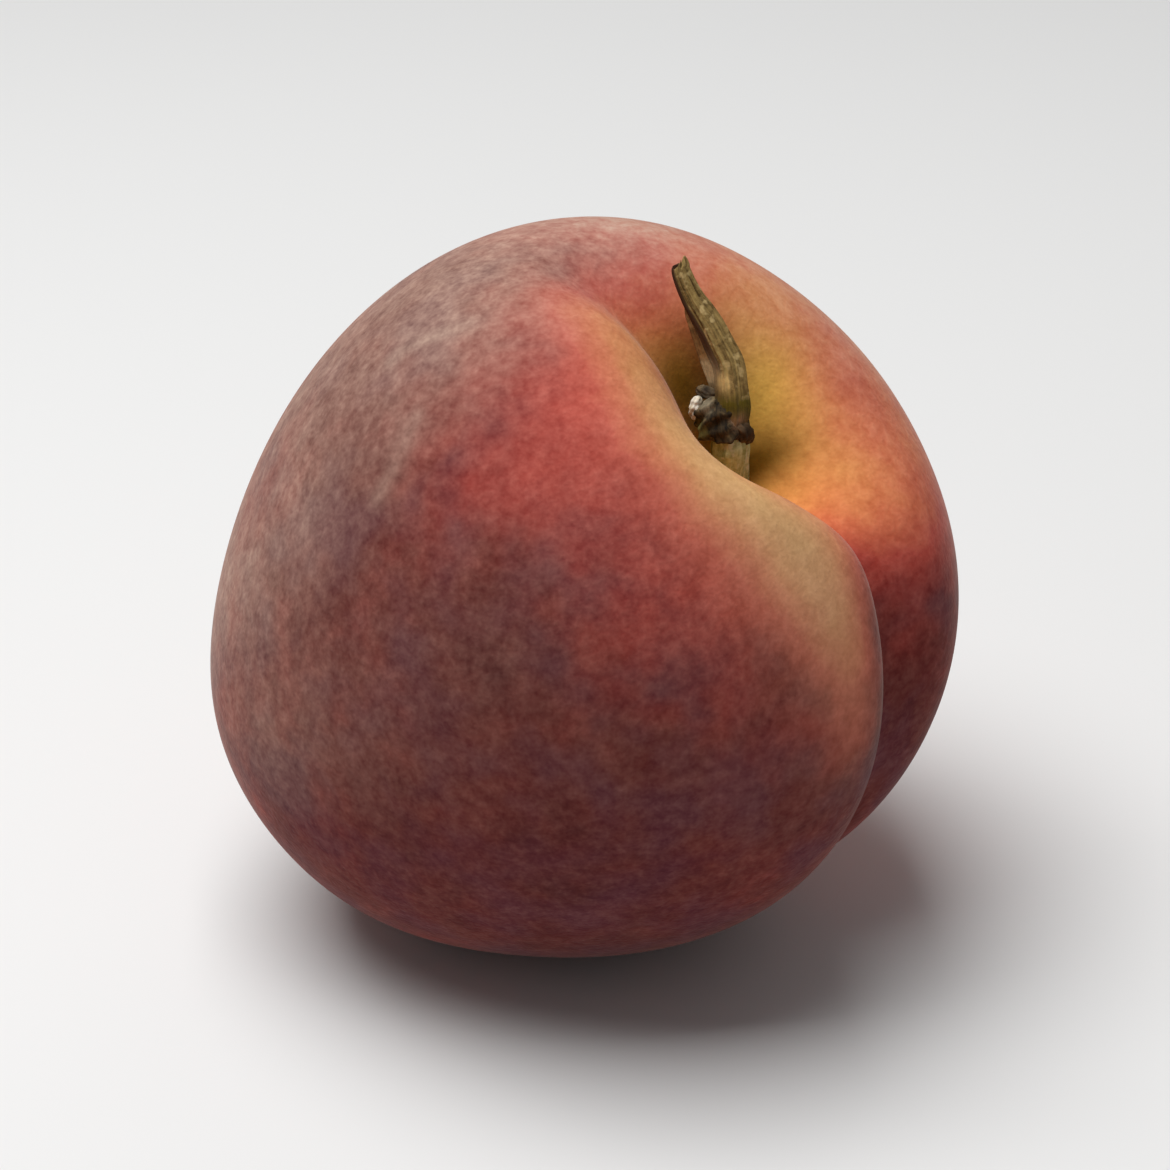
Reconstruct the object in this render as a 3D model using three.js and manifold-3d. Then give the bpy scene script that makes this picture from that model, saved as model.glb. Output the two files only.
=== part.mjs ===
// A ripe peach with a torn strip of twig on its stem, lying on its side on a small flat spot.
// Millimetres, +Z up. The origin is the centre of the flat spot that the fruit rests on.
//
// The fruit is first shaped in its own frame: +Z along the stem axis, +X towards the suture (the
// long groove), +Y towards the far cheek and -Y towards the near cheek. REST then turns it as it lies.

import * as THREE from "three";
import { mergeVertices } from "three/addons/utils/BufferGeometryUtils.js";
import Module from "manifold-3d";

// ---------- the fruit's driving dimensions ----------

// Radius of the flesh along four meridians, at equal steps of the angle from stem to blossom end.
const MERIDIAN = {
  suture: [36.0, 37.2, 35.2, 34.7, 36.2],
  farCheek: [36.0, 36.1, 35.7, 36.3, 36.2],
  back: [36.0, 36.7, 33.2, 33.7, 36.2],
  nearCheek: [36.0, 37.0, 33.9, 36.7, 36.2],
};
const MEAN_RADIUS = 35; // reach of the X, Y and Z that widths below are measured on

// The suture, from stem to blossom end: a soft valley with a fine crease along its bottom.
const SUTURE = {
  depth: [1.5, 3.35, 3.85, 2.75, 1.7, 1.0, 0.55, 0.4, 0.0],
  nearWidth: [3.0, 3.5, 4.7, 5.0, 4.8, 4.3, 3.8, 3.3, 3.0],
  farWidth: [3.5, 4.3, 5.5, 4.9, 3.6, 3.3, 3.2, 3.1, 3.0],
  wander: [0.0, -0.5, -1.4, -2.4, -2.6, -1.8, -0.7, -0.1, 0.0],
  fullDepth: 3.0, // at this depth the crease and the broad hollow are at their strongest
  creaseDepth: 0.35,
  creaseWidth: 0.8,
  broadDepth: 0.6,
  broadWidth: 12,
};

// The trough that runs from the stem hollow down the back: steep on its near side, easy on its
// far side. Its middle is off the stem's plane, and both sides flare with the angle in degrees.
const TROUGH = {
  depth: 4.4,
  angle: 27,
  spread: 15,
  middle: -2.4,
  nearWidth: 2.2,
  farWidth: 5.5,
  flare: 0.06,
};

// The hollow round the stem. Its reach and steepness are given every 45 degrees round the stem
// axis, from the suture by way of the far cheek, the back and the near cheek.
const HOLLOW = {
  depth: 13,
  steepness: [2.4, 1.9, 1.7, 1.9, 2.4, 2.6, 2.6, 2.6],
  reach: [9.0, 8.4, 8.4, 9.8, 12.0, 12.2, 9.0, 7.6],
};

const BLOSSOM_TIP = { height: 0.7, width: 3.2 };
const SWELL = 0.22; // slow unevenness of the flesh
const SIDE_BLEND = 7; // the suture side and the back meet over this distance from the stem axis

// How the fruit lies: turned about its stem axis, leaned over, then headed, in degrees.
const REST = { spin: 3.4, lean: 44.6, heading: -30.7 };
const FLAT_SPOT = { depth: 1.0, centre: [-3.4, 1.7] }; // flattened by its own weight

const COLUMNS = 64;
const ROWS = 52;

// ---------- the stem's driving dimensions ----------

// Points along the stem in the fruit's frame, from its foot in the hollow to the torn end.
const STEM_ROUTE = [
  [0.8, 0.8, 20.0],
  [0.0, 0.6, 22.4],
  [-1.2, 0.4, 24.6],
  [-2.8, 0.1, 26.3],
  [-4.4, 0.0, 27.7],
  [-6.2, 0.4, 29.4],
  [-8.6, 0.8, 30.6],
  [-11.6, 1.1, 31.5],
  [-14.4, 1.1, 32.4],
  [-16.5, 1.2, 33.2],
  [-17.6, 1.5, 34.0],
];
// Width and thickness at even steps of the same length: foot, knob, scar, then the thin strip.
const STEM_WIDTH = [3.8, 3.9, 4.1, 5.0, 4.8, 3.7, 3.3, 2.8, 2.3, 2.1, 1.3];
const STEM_THICKNESS = [3.6, 3.7, 3.8, 3.9, 3.4, 2.4, 1.9, 1.6, 1.4, 1.2, 0.8];
const STEM_RIDGE = { count: 5, height: 0.09 }; // bark ridges, as a part of the half width
const STEM_FACES = [0.0, -0.77, 0.64]; // the way the strip's broad side faces

const SEAT_GAP = 0.6; // the foot is cut to the hollow's own shape, this far above its skin

// A splinter that stands off the scar where the twig tore away.
const SPLINTER_ROUTE = [
  [-3.4, -0.9, 26.4],
  [-5.0, -1.5, 26.6],
  [-6.5, -1.9, 26.8],
  [-7.4, -1.6, 27.8],
];
const SPLINTER_WIDTH = [1.6, 1.7, 1.4, 0.8];
const SPLINTER_THICKNESS = [1.2, 1.3, 1.0, 0.6];

// ---------- shared formulas ----------

/** Eases from 0 at `low` to 1 at `high`, level at both ends. */
function ease(low, high, x) {
  return THREE.MathUtils.smoothstep(x, low, high);
}

/** A bell curve: 1 in the middle, falling away over `width`. */
function bell(x, width) {
  return Math.exp(-((x / width) ** 2));
}

/**
 * The curve through `values`, given at equal steps of the angle from 0 to PI, as a cosine series:
 * each term is a whole number of half waves, so the curve is level at both poles.
 */
function throughPoles(values, angle) {
  const last = values.length - 1;
  const half = (i) => (i === 0 || i === last ? 0.5 : 1);
  let sum = 0;
  for (let wave = 0; wave <= last; wave++) {
    let share = 0;
    for (let i = 0; i <= last; i++) {
      share += half(i) * values[i] * Math.cos((wave * i * Math.PI) / last);
    }
    sum += ((2 * half(wave) * share) / last) * Math.cos(wave * angle);
  }
  return sum;
}

/**
 * The smooth closed curve through `values`, given at equal steps of a full turn, as a sum of whole
 * waves. The shortest wave spans two steps and counts once, the longer ones twice.
 */
function throughTurn(values, turn) {
  const count = values.length;
  let sum = 0;
  for (let wave = 0; wave <= count / 2; wave++) {
    const weight = wave === 0 || wave === count / 2 ? 1 / count : 2 / count;
    for (let i = 0; i < count; i++) {
      sum += weight * values[i] * Math.cos(wave * (turn - (i * 2 * Math.PI) / count));
    }
  }
  return sum;
}

/** Radius of the plump flesh alone: the four meridians, each weighted by its direction cubed. */
function fleshRadius(angle, around) {
  const shares = {
    suture: Math.max(Math.cos(around), 0) ** 3,
    farCheek: Math.max(Math.sin(around), 0) ** 3,
    back: Math.max(-Math.cos(around), 0) ** 3,
    nearCheek: Math.max(-Math.sin(around), 0) ** 3,
  };
  let total = 0;
  let radius = 0;
  for (const [name, share] of Object.entries(shares)) {
    total += share;
    radius += share * throughPoles(MERIDIAN[name], angle);
  }
  return radius / total;
}

/** Depth of the suture: its valley, fine crease and broad hollow. */
function sutureDepth(angle, y) {
  const depth = throughPoles(SUTURE.depth, angle);
  const across = y - throughPoles(SUTURE.wander, angle);
  const width = throughPoles(across > 0 ? SUTURE.farWidth : SUTURE.nearWidth, angle);
  const strength = THREE.MathUtils.clamp(depth / SUTURE.fullDepth, 0, 1);
  const crease = Math.exp(0.55 - Math.hypot(across / SUTURE.creaseWidth, Math.sqrt(0.3)));
  return (
    depth * bell(across, width) +
    strength * SUTURE.creaseDepth * crease +
    strength * SUTURE.broadDepth * bell(y, SUTURE.broadWidth)
  );
}

/** Distance from the fruit's middle to its skin, at an angle from the stem axis and around it. */
function skinRadius(angle, around) {
  const x = MEAN_RADIUS * Math.sin(angle) * Math.cos(around);
  const y = MEAN_RADIUS * Math.sin(angle) * Math.sin(around);
  const z = MEAN_RADIUS * Math.cos(angle);
  const degrees = THREE.MathUtils.radToDeg(angle);
  const onSutureSide = ease(-SIDE_BLEND, SIDE_BLEND, x);

  const swell = Math.sin(x / 9 + 1) * Math.sin(y / 8 - 0.5) + 0.6 * Math.sin(z / 7 + x / 11);
  const overTrough = y - TROUGH.middle;
  const troughWidth = overTrough > 0 ? TROUGH.farWidth : TROUGH.nearWidth;
  const trough =
    TROUGH.depth *
    bell(degrees - TROUGH.angle, TROUGH.spread) *
    bell(overTrough, troughWidth + TROUGH.flare * degrees);
  const fromStem = Math.hypot(x, y) / throughTurn(HOLLOW.reach, around);
  const steepness = throughTurn(HOLLOW.steepness, around);
  const hollow = z > 0 ? HOLLOW.depth * Math.exp(-(fromStem ** steepness)) : 0;
  const tip = z < 0 ? BLOSSOM_TIP.height * bell(Math.hypot(x, y), BLOSSOM_TIP.width) : 0;

  return (
    fleshRadius(angle, around) +
    SWELL * swell -
    onSutureSide * sutureDepth(angle, y) -
    (1 - onSutureSide) * trough -
    hollow +
    tip
  );
}

/** The turn from the fruit's own frame to how it lies. */
function restingTurn() {
  const turn = new THREE.Matrix4();
  const steps = [
    new THREE.Matrix4().makeRotationZ(THREE.MathUtils.degToRad(REST.heading)),
    new THREE.Matrix4().makeRotationY(THREE.MathUtils.degToRad(REST.lean)),
    new THREE.Matrix4().makeRotationZ(THREE.MathUtils.degToRad(REST.spin)),
  ];
  for (const step of steps) turn.multiply(step);
  return turn;
}

/** Drops normals and texture coordinates and joins vertices that coincide, so a mesh is closed. */
function closed(geometry) {
  geometry.deleteAttribute("normal");
  geometry.deleteAttribute("uv");
  return mergeVertices(geometry, 1e-4);
}

// ---------- the fruit: one solid, as it grew ----------

/**
 * A sphere of rows and columns, each vertex moved out to the skin, or to `grown` beyond it. Rows
 * crowd towards the stem hollow, and columns crowd towards the suture.
 */
function fruitGeometry(grown) {
  const geometry = new THREE.SphereGeometry(1, COLUMNS, ROWS);
  geometry.rotateX(Math.PI / 2);
  const place = geometry.attributes.position;
  for (let i = 0; i < place.count; i++) {
    const row = Math.acos(THREE.MathUtils.clamp(place.getZ(i), -1, 1)) / Math.PI;
    const column = Math.atan2(place.getY(i), place.getX(i));
    const angle = Math.PI * (0.75 * row + 0.25 * row * row);
    const around = column - 0.5 * Math.sin(column);
    const radius = skinRadius(angle, around) + grown;
    const ring = radius * Math.sin(angle);
    place.setXYZ(i, ring * Math.cos(around), ring * Math.sin(around), radius * Math.cos(angle));
  }
  return closed(geometry);
}

/** Height of the plane that the fruit's lowest part is flattened against, before it is lowered. */
function floorHeight(turnedFruit) {
  turnedFruit.computeBoundingBox();
  return turnedFruit.boundingBox.min.z + FLAT_SPOT.depth;
}

const turn = restingTurn();
const fruitSolid = fruitGeometry(0).applyMatrix4(turn);
const lower = -floorHeight(fruitSolid);
fruitSolid.translate(-FLAT_SPOT.centre[0], -FLAT_SPOT.centre[1], lower);
const skin = fruitSolid.attributes.position;
for (let i = 0; i < skin.count; i++) {
  skin.setZ(i, Math.max(skin.getZ(i), 0));
}

const fruit = new THREE.Mesh(
  fruitSolid,
  new THREE.MeshStandardMaterial({ color: 0xa8553f, roughness: 0.85, metalness: 0 }),
);
fruit.name = "fruit";

// ---------- the stem: a stout knob, its scar, and a torn strip of twig ----------

/** The value at `t` (0 to 1) of a list given at even steps. */
function along(values, t) {
  const at = t * (values.length - 1);
  const i = Math.min(Math.floor(at), values.length - 2);
  return THREE.MathUtils.lerp(values[i], values[i + 1], at - i);
}

/**
 * A capped cylinder bent along a smooth curve through `route`. Its section is an ellipse of the
 * listed widths and thicknesses, with ridges that run along it, and its broad side faces `facing`.
 */
function strip(route, widths, thicknesses, sides, steps, ridge) {
  const curve = new THREE.CatmullRomCurve3(route.map((p) => new THREE.Vector3(...p)), false, "centripetal");
  const geometry = new THREE.CylinderGeometry(1, 1, 1, sides, steps);
  const facing = new THREE.Vector3(...STEM_FACES);
  const place = geometry.attributes.position;
  const point = new THREE.Vector3();
  for (let i = 0; i < place.count; i++) {
    const t = THREE.MathUtils.clamp(place.getY(i) + 0.5, 0, 1);
    const tangent = curve.getTangent(t);
    const across = new THREE.Vector3().crossVectors(facing, tangent).normalize().negate();
    const outward = new THREE.Vector3().crossVectors(across, tangent).normalize();
    const turnAngle = Math.atan2(place.getZ(i), place.getX(i));
    const ridged = 1 + ridge.height * Math.cos(ridge.count * turnAngle + 2 * t);
    curve.getPoint(t, point);
    point.addScaledVector(across, (place.getX(i) * ridged * along(widths, t)) / 2);
    point.addScaledVector(outward, (place.getZ(i) * ridged * along(thicknesses, t)) / 2);
    place.setXYZ(i, point.x, point.y, point.z);
  }
  return closed(geometry);
}

const wasm = await Module();
wasm.setup();

/** A closed geometry as a manifold-3d solid. */
function solid(geometry) {
  return new wasm.Manifold(
    new wasm.Mesh({
      numProp: 3,
      vertProperties: new Float32Array(geometry.attributes.position.array),
      triVerts: new Uint32Array(geometry.index.array),
    }),
  );
}

/** A manifold-3d solid as a geometry. */
function geometryOf(body) {
  const mesh = body.getMesh();
  const geometry = new THREE.BufferGeometry();
  geometry.setAttribute("position", new THREE.BufferAttribute(mesh.vertProperties, 3));
  geometry.setIndex(new THREE.BufferAttribute(mesh.triVerts, 1));
  return geometry;
}

const shaft = strip(STEM_ROUTE, STEM_WIDTH, STEM_THICKNESS, 20, 30, STEM_RIDGE);
const splinter = strip(SPLINTER_ROUTE, SPLINTER_WIDTH, SPLINTER_THICKNESS, 8, 6, { count: 2, height: 0 });
const twig = solid(shaft).add(solid(splinter)).subtract(solid(fruitGeometry(SEAT_GAP)));
const stemSolid = geometryOf(twig).applyMatrix4(turn);
stemSolid.translate(-FLAT_SPOT.centre[0], -FLAT_SPOT.centre[1], lower);

const stem = new THREE.Mesh(
  stemSolid,
  new THREE.MeshStandardMaterial({ color: 0x6b5a2e, roughness: 0.9, metalness: 0 }),
);
stem.name = "stem";

const peach = new THREE.Group();
peach.add(fruit, stem);

export default peach;
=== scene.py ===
import math

import bpy
import numpy as np
from mathutils import Matrix, Vector


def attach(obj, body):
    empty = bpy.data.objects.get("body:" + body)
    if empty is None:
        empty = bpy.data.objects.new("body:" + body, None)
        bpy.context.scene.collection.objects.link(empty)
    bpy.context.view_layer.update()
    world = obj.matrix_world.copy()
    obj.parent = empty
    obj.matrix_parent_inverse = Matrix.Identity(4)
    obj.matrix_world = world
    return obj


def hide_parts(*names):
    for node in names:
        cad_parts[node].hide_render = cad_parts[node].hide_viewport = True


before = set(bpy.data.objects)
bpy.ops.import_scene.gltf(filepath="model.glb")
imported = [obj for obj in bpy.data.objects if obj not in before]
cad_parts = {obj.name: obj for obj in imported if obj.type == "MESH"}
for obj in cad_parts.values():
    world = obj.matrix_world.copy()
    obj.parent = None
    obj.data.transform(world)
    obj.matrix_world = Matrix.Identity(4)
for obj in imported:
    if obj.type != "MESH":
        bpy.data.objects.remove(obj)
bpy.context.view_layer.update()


# ======================================================================================
# The fruit. One ripe peach, grown as one piece: two cheeks with the suture between them,
# a trough down its back, a deep hollow round the stem and a small blossom tip. Its skin is
# thin and downy, and it lies on a flat spot that its own weight has pressed.
# ======================================================================================

MM = 0.001

# The shape is a radius about the fruit's middle, in the fruit's own frame: +Z along the stem
# axis, +X to the suture, +Y to the far cheek.

# Radius of the flesh in mm on four meridians, at equal steps from stem to blossom end.
MERIDIAN = {
    "suture": [36.0, 37.2, 35.2, 34.7, 36.2],
    "far_cheek": [36.0, 36.1, 35.7, 36.3, 36.2],
    "back": [36.0, 36.7, 33.2, 33.7, 36.2],
    "near_cheek": [36.0, 37.0, 33.9, 36.7, 36.2],
}
MEAN_RADIUS = 35.0

SUTURE_DEPTH = [1.5, 3.35, 3.85, 2.75, 1.7, 1.0, 0.55, 0.4, 0.0]
SUTURE_NEAR_WIDTH = [3.0, 3.5, 4.7, 5.0, 4.8, 4.3, 3.8, 3.3, 3.0]
SUTURE_FAR_WIDTH = [3.5, 4.3, 5.5, 4.9, 3.6, 3.3, 3.2, 3.1, 3.0]
SUTURE_WANDER = [0.0, -0.5, -1.4, -2.4, -2.6, -1.8, -0.7, -0.1, 0.0]
SUTURE_FULL_DEPTH = 3.0
CREASE_DEPTH, CREASE_WIDTH = 0.35, 0.8
BROAD_DEPTH, BROAD_WIDTH = 0.6, 12.0

TROUGH_DEPTH, TROUGH_ANGLE, TROUGH_SPREAD, TROUGH_MIDDLE = 4.4, 27.0, 15.0, -2.4
TROUGH_NEAR_WIDTH, TROUGH_FAR_WIDTH, TROUGH_FLARE = 2.2, 5.5, 0.06
HOLLOW_DEPTH = 13.0
# Every 45 degrees round the stem: the suture, the far cheek, the back, the near cheek.
HOLLOW_REACH = [9.0, 8.4, 8.4, 9.8, 12.0, 12.2, 9.0, 7.6]
HOLLOW_STEEPNESS = [2.4, 1.9, 1.7, 1.9, 2.4, 2.6, 2.6, 2.6]
TIP_HEIGHT, TIP_WIDTH = 0.7, 3.2
SWELL = 0.22  # height of the slow unevenness that all fruit has
SIDE_BLEND = 7.0  # the suture gives way to the trough over this much of X, each side of 0

SPIN, LEAN, HEADING = 3.4, 44.6, -30.7
FLAT_DEPTH, FLAT_CENTRE = 1.0, (-3.4, 1.7)
FLAT_EDGE = 0.12  # the flat spot's rim is rounded over this height

ROWS, COLUMNS = 300, 316
POLE = 1e-4  # the poles' points are this angle off the axis, where a direction still exists


def ease(low, high, x):
    """0 below low, 1 above high, and t * t * (3 - 2 t) between, so it is level at both ends."""
    t = np.clip((x - low) / (high - low), 0, 1)
    return t * t * (3 - 2 * t)


def bell(x, width):
    """exp(-(x / width) squared): 1 in the middle, falling away over the width."""
    return np.exp(-((x / width) ** 2))


def through_poles(values, angle):
    """The cosine series through values given at equal steps of the angle from 0 to pi: the sum
    of whole numbers of half waves, each weighted by how much of it the values hold."""
    values = np.asarray(values, float)
    last = len(values) - 1
    half = np.ones(last + 1)
    half[[0, last]] = 0.5
    steps = np.arange(last + 1) * math.pi / last
    share = [2 / last * half[k] * np.sum(half * values * np.cos(k * steps)) for k in range(last + 1)]
    return sum(s * np.cos(k * angle) for k, s in enumerate(share))


def flesh_radius(angle, around):
    """The four meridians' radii, each weighted by the cube of the direction's pull towards it."""
    pull = {
        "suture": np.maximum(np.cos(around), 0) ** 3,
        "far_cheek": np.maximum(np.sin(around), 0) ** 3,
        "back": np.maximum(-np.cos(around), 0) ** 3,
        "near_cheek": np.maximum(-np.sin(around), 0) ** 3,
    }
    return sum(w * through_poles(MERIDIAN[k], angle) for k, w in pull.items()) / sum(pull.values())


def suture_depth(angle, y):
    """A bell-shaped valley, plus a fine crease and a broad hollow that fade with its depth."""
    depth = through_poles(SUTURE_DEPTH, angle)
    across = y - through_poles(SUTURE_WANDER, angle)
    near, far = through_poles(SUTURE_NEAR_WIDTH, angle), through_poles(SUTURE_FAR_WIDTH, angle)
    strength = np.clip(depth / SUTURE_FULL_DEPTH, 0, 1)
    crease = np.exp(0.55 - np.sqrt((across / CREASE_WIDTH) ** 2 + 0.3))
    relief = CREASE_DEPTH * crease + BROAD_DEPTH * bell(y, BROAD_WIDTH)
    return depth * bell(across, np.where(across > 0, far, near)) + strength * relief


def on_sphere(angle, around):
    """X, Y and Z in mm on the sphere of mean radius, where widths are measured."""
    ring = MEAN_RADIUS * np.sin(angle)
    return ring * np.cos(around), ring * np.sin(around), MEAN_RADIUS * np.cos(angle)


def through_turn(values, turn):
    """The sum of whole waves through values given at equal steps of a full turn: the mean, twice
    the share of each longer wave, and once the share of the shortest."""
    count = len(values)
    steps = np.arange(count) * 2 * math.pi / count
    total = np.full(np.shape(turn), np.mean(values))
    for wave in range(1, count // 2 + 1):
        weight = (2 if wave < count / 2 else 1) / count
        for value, step in zip(values, steps):
            total = total + weight * value * np.cos(wave * (turn - step))
    return total


def from_stem(x, y, around):
    """Distance from the stem axis as a share of the hollow's reach in that direction."""
    return np.hypot(x, y) / through_turn(HOLLOW_REACH, around)


def skin_radius(angle, around):
    """The flesh's radius and its slow swells, less the suture, trough and hollow, plus the tip."""
    x, y, z = on_sphere(angle, around)
    degrees = np.degrees(angle)
    side = ease(-SIDE_BLEND, SIDE_BLEND, x)
    swell = np.sin(x / 9 + 1) * np.sin(y / 8 - 0.5) + 0.6 * np.sin(z / 7 + x / 11)
    across = y - TROUGH_MIDDLE
    width = np.where(across > 0, TROUGH_FAR_WIDTH, TROUGH_NEAR_WIDTH) + TROUGH_FLARE * degrees
    trough = TROUGH_DEPTH * bell(degrees - TROUGH_ANGLE, TROUGH_SPREAD) * bell(across, width)
    near_stem = np.exp(-(from_stem(x, y, around) ** through_turn(HOLLOW_STEEPNESS, around)))
    hollow = np.where(z > 0, HOLLOW_DEPTH * near_stem, 0)
    tip = np.where(z < 0, TIP_HEIGHT * bell(np.hypot(x, y), TIP_WIDTH), 0)
    dents = side * suture_depth(angle, y) + (1 - side) * trough + hollow
    return flesh_radius(angle, around) + SWELL * swell - dents + tip


TURN = np.array(
    Matrix.Rotation(math.radians(HEADING), 3, "Z")
    @ Matrix.Rotation(math.radians(LEAN), 3, "Y")
    @ Matrix.Rotation(math.radians(SPIN), 3, "Z")
)


def in_fruit_frame(angle, around, lift=0.0):
    """Points in mm at the skin's radius plus lift, along the direction of both angles."""
    radius = skin_radius(angle, around) + lift
    ring = radius * np.sin(angle)
    return np.stack([ring * np.cos(around), ring * np.sin(around), radius * np.cos(angle)], -1)


row = np.linspace(0, 1, ROWS + 1)
column = np.linspace(0, 2 * math.pi, COLUMNS, endpoint=False)
row_angle = math.pi * (0.75 * row + 0.25 * row**2)  # rows crowd towards the hollow
column_angle = column - 0.5 * np.sin(column)  # columns crowd towards the suture
angle, around = np.meshgrid(row_angle[1:-1], column_angle, indexing="ij")
grid = in_fruit_frame(angle, around)
QUARTER = math.pi / 2
stem_pole = in_fruit_frame(np.array([POLE]), np.array([QUARTER]))
blossom_pole = in_fruit_frame(np.array([math.pi - POLE]), np.array([QUARTER]))
skin_angle = np.concatenate([[POLE], angle.ravel(), [math.pi - POLE]])
skin_around = np.concatenate([[QUARTER], around.ravel(), [QUARTER]])
skin_points = np.concatenate([stem_pole, grid.reshape(-1, 3), blossom_pole])
FLOOR_LINE = (skin_points @ TURN.T)[:, 2].min() + FLAT_DEPTH


def as_it_lies(points):
    """Turns points from the fruit's frame to how it lies, and lowers them to the surface, in
    metres."""
    turned = points @ TURN.T
    return (turned - [FLAT_CENTRE[0], FLAT_CENTRE[1], FLOOR_LINE]) * MM


def pressed_flat(points):
    """Heights below -edge become 0 and heights above edge stay; between them the height is
    (z + edge) squared over 4 edge, which joins both smoothly."""
    edge = FLAT_EDGE * MM
    z = points[:, 2]
    eased = (z + edge) ** 2 / (4 * edge)
    points[:, 2] = np.where(z <= -edge, 0, np.where(z < edge, eased, z))
    return points


def closed_grid_faces(rows, columns):
    """Quads of a grid of rows that close round on themselves, with a pole before the first row
    and one after the last, as triangles."""
    index = 1 + np.arange(rows * columns).reshape(rows, columns)
    beside = np.roll(index, -1, 1)
    quads = np.stack([index[:-1], index[1:], beside[1:], beside[:-1]], -1).reshape(-1, 4)
    first = np.stack([np.zeros(columns, int), index[0], beside[0]], -1)
    last = np.stack([index[-1], np.full(columns, rows * columns + 1), beside[-1]], -1)
    return quads.tolist() + first.tolist() + last.tolist()


def make_piece(name, points, faces, material):
    """A smooth-shaded mesh object from points in metres."""
    mesh = bpy.data.meshes.new(name)
    mesh.from_pydata(points.tolist(), [], faces)
    mesh.polygons.foreach_set("use_smooth", np.ones(len(mesh.polygons), bool))
    mesh.materials.append(material)
    mesh.update()
    piece = bpy.data.objects.new(name, mesh)
    bpy.context.scene.collection.objects.link(piece)
    return piece


def add_mask(piece, name, values):
    """Stores one number a vertex, which the material reads by name."""
    layer = piece.data.attributes.new(name, "FLOAT", "POINT")
    layer.data.foreach_set("value", np.asarray(values, np.float32))


# --- where each colour of the skin shows ---


def patch(at, size):
    """exp(-(distance / size) squared) over the skin, with the distance in mm on the mean sphere
    from a direction given as (degrees from the stem, degrees around)."""
    here = np.stack(on_sphere(skin_angle, skin_around))
    there = np.stack(on_sphere(np.radians(at[0]), np.radians(at[1])))
    return bell(np.linalg.norm(here - there.reshape(3, 1), axis=0), size)


def patches(rows):
    """The sum of patches, each given as a direction, a size in mm and an amount."""
    return sum(amount * patch(at, size) for at, size, amount in rows)


FAR_OFF = 9  # in shares of the hollow's reach, for the half of the fruit that has no hollow
mask_x, mask_y, mask_z = on_sphere(skin_angle, skin_around)
stemward = np.where(mask_z > 0, from_stem(mask_x, mask_y, skin_around), FAR_OFF)

# How deep the blush is: 0 is bare golden ground, 0.5 coral, 1 dusky purple. The near cheek has
# had the sun; the far cheek is paler, from FAR_FROM to FAR_TO in mm along Y. Each patch is a
# direction, a size in mm and a change. The patches that deepen it low on the near cheek, along
# the suture and on the far cheek beside the suture are painted shade.
CHEEK_BLUSH, FAR_PALER = 0.74, 0.30
FAR_FROM, FAR_TO = -6, 20
BLUSH_AND_SHADE_PATCHES = [
    ((22, 45), 12, -0.11),
    ((25, 16), 6, -0.14),
    ((38, 98), 10, -0.12),
    ((17, 84), 6, 0.09),
    ((17, 104), 4, 0.05),
    ((25, 142), 6, -0.18),
    ((60, 12), 18, 0.14),
    ((42, 160), 14, -0.04),
    ((33, -165), 6, -0.16),
    ((26, -170), 5, -0.20),
    ((42, -128), 11, -0.12),
    ((41, -85), 9, -0.10),
    ((62, -93), 8, 0.10),
    ((78, -126), 10, 0.08),
    ((101, -86), 16, 0.05),
    ((94, -58), 18, 0.10),
    ((74, -45), 12, 0.06),
    ((64, -160), 16, 0.08),
    ((100, 120), 24, -0.22),
    ((124, 166), 17, -0.16),
    ((56, 40), 14, 0.16),
]
HOLLOW_PALER, HOLLOW_PALE_REACH = 0.66, 1.15

# The tan band just outside the near lip of the hollow and of the suture, by mm along X.
LIP_X = [-26, -18, -8, 0, 8, 14, 20, 28]
LIP_MIDDLE_Y = [-8.0, -9.0, -12.8, -13.5, -11.5, -11.5, -11.5, -11.0]
LIP_WIDTH = [2.5, 3.2, 4.2, 4.6, 5.6, 4.6, 3.4, 2.4]
LIP_PALER = [0.0, 0.14, 0.34, 0.48, 0.58, 0.50, 0.28, 0.0]

lip = bell(mask_y - np.interp(mask_x, LIP_X, LIP_MIDDLE_Y), np.interp(mask_x, LIP_X, LIP_WIDTH))
lip = lip * np.interp(mask_x, LIP_X, LIP_PALER) * (mask_z > 0)
blush_and_shade = CHEEK_BLUSH - FAR_PALER * ease(FAR_FROM, FAR_TO, mask_y)
blush_and_shade = blush_and_shade + patches(BLUSH_AND_SHADE_PATCHES)
blush_and_shade = blush_and_shade - HOLLOW_PALER * bell(stemward, HOLLOW_PALE_REACH) - lip

# The hollow is yellow ground, with one brighter yellow patch on its wall that is painted light.
# Its dark olive, at its back, at its bottom and round the stem's foot, is olive-green ground
# darkened as painted shade.
YELLOW_AMOUNT, YELLOW_REACH, YELLOW_MOST = 0.6, 0.68, 0.9
YELLOW_LIGHT_PATCHES = [((12, 130), 4.5, 0.6)]
OLIVE_SHADE_PATCHES = [((19, -176), 5.5, 0.95), ((6.5, 72), 3.0, 0.75), ((0, 0), 4, 0.6)]
OLIVE_SHADE_MOST = 0.95
yellow = YELLOW_AMOUNT * bell(stemward, YELLOW_REACH) + patches(YELLOW_LIGHT_PATCHES)
yellow = np.minimum(yellow, YELLOW_MOST)
olive_shade = np.minimum(patches(OLIVE_SHADE_PATCHES), OLIVE_SHADE_MOST)

# The dry remains of the flower at the blossom end.
BLOSSOM_PATCHES = [((180, 0), 1.3, 1.3)]
BLOSSOM_MOST = 0.9
blossom = np.minimum(patches(BLOSSOM_PATCHES), BLOSSOM_MOST)

# Two scuffs, each a line of points on the mean sphere in mm, show as paler threads in the down.
SCUFFS = [
    [[-21.2, -21.6, 17.6], [-20.2, -23.4, 16.4], [-19.4, -25.1, 14.8], [-18.6, -26.8, 12.7]],
    [[-24.0, -13.6, 21.6], [-25.1, -14.5, 19.7], [-26.1, -15.3, 17.5], [-26.7, -16.7, 15.2]],
]
SCUFF_WIDTH = 0.9


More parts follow.
